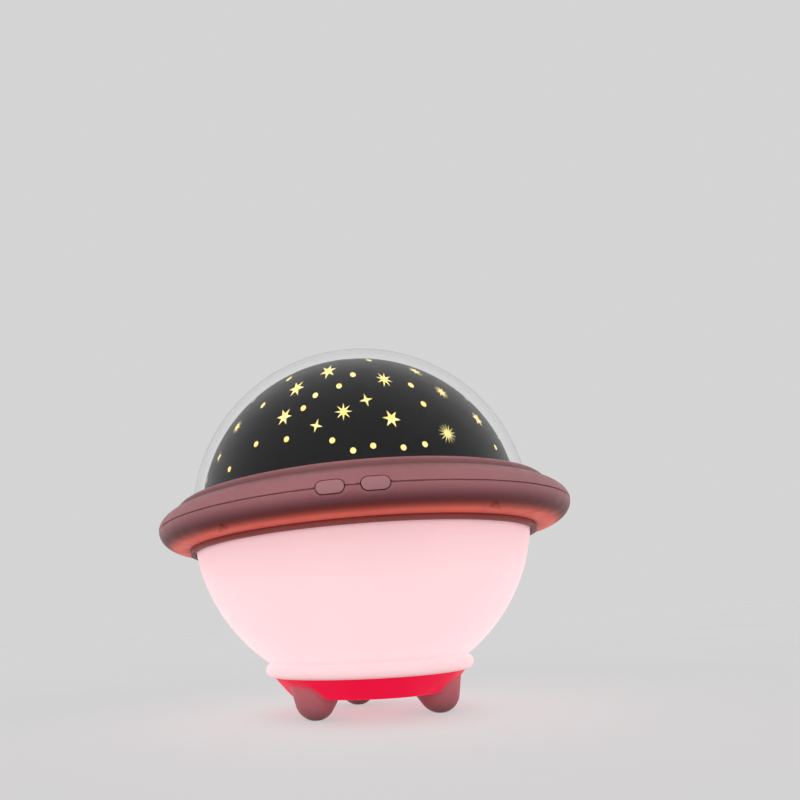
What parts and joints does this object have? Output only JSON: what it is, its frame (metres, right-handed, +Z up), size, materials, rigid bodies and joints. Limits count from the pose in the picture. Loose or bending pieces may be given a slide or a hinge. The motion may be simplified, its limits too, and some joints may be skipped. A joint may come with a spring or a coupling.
{
  "type": "night light",
  "caption": "Saucer-shaped night light with a milky glowing bowl on a footed base, a split pink ring with push buttons, and a clear dome over a turning star mask.",
  "frame": {"origin": "on the table, under the middle of the lamp", "axes": "+Z up along the lamp's axis, -Y towards the front with the buttons, +X to the right seen from the front"},
  "size_m": [0.1608, 0.1611, 0.1454],
  "materials": {
    "ring_pink": "satin",
    "clear_dome": "clear, polished",
    "black_mask": "matt black",
    "warm_film": "thin, lit from behind",
    "milk_bowl": "milky, lit from inside",
    "base_pink": "satin, lets light through",
    "white_plastic": "satin",
    "steel": "plain",
    "circuit_board": "solder mask",
    "led_lens": "clear yellow",
    "black_plastic": "satin",
    "connector_white": "satin",
    "battery_wrap": "shrink film",
    "foam": "soft",
    "lead_red": "satin",
    "lead_white": "satin"
  },
  "bodies": {
    "lamp": {"upper_ring": "ring_pink", "lower_ring": "ring_pink", "bowl_diffuser": "milk_bowl", "bead_ring": "milk_bowl", "footed_base": "base_pink", "centre_post": "white_plastic", "deck": "white_plastic", "core_housing": "white_plastic", "thrust_washer": "white_plastic", "base_screws": "steel", "deck_screws": "steel", "motor_screws": "steel", "core_screws": "steel", "lamp_board_screws": "steel", "button_board_screws": "steel", "main_board_screws": "steel", "retaining_clip": "steel", "gear_motor": "steel", "usb_socket": "steel", "projector_board": "circuit_board", "lamp_board": "circuit_board", "button_board": "circuit_board", "main_board": "circuit_board", "projector_led": "led_lens", "lamp_leds": "led_lens", "switch_left": "black_plastic", "switch_right": "black_plastic", "board_parts": "black_plastic", "lead_connectors": "connector_white", "battery_pack": "battery_wrap", "battery_pad": "foam", "motor_lead": "lead_red", "battery_lead": "lead_red", "projector_lead": "lead_red", "lamp_lead": "lead_white", "button_lead": "lead_white"},
    "dome": {"clear_dome": "clear_dome"},
    "star_table": {"turntable": "white_plastic", "star_mask": "black_mask", "star_film": "warm_film"},
    "pinion": {"drive_pinion": "white_plastic", "motor_shaft": "steel"},
    "left_button": {"button_left": "ring_pink", "switch_plunger_left": "black_plastic"},
    "right_button": {"button_right": "ring_pink", "switch_plunger_right": "black_plastic"}
  },
  "joints": [
    {"name": "dome_twist", "type": "hinge", "parent": "lamp", "child": "dome", "pos_m": [0, 0, 0.0786], "axis": [0, 0, 1], "range_deg": [0, 24]},
    {"name": "star_spin", "type": "hinge", "parent": "lamp", "child": "star_table", "pos_m": [0, 0, 0.0786], "axis": [0, 0, 1], "continuous": true},
    {"name": "pinion_spin", "type": "hinge", "parent": "lamp", "child": "pinion", "pos_m": [-0.0192, 0, 0.0764], "axis": [0, 0, 1], "continuous": true},
    {"name": "left_press", "type": "slide", "parent": "lamp", "child": "left_button", "axis": [0, 1, 0], "range_m": [0, 0.0008], "stiffness_N_per_m": 2500},
    {"name": "right_press", "type": "slide", "parent": "lamp", "child": "right_button", "axis": [0, 1, 0], "range_m": [0, 0.0008], "stiffness_N_per_m": 2500}
  ],
  "couplings": [
    {"joint": "pinion_spin", "follows": "star_spin", "ratio": -3}
  ]
}
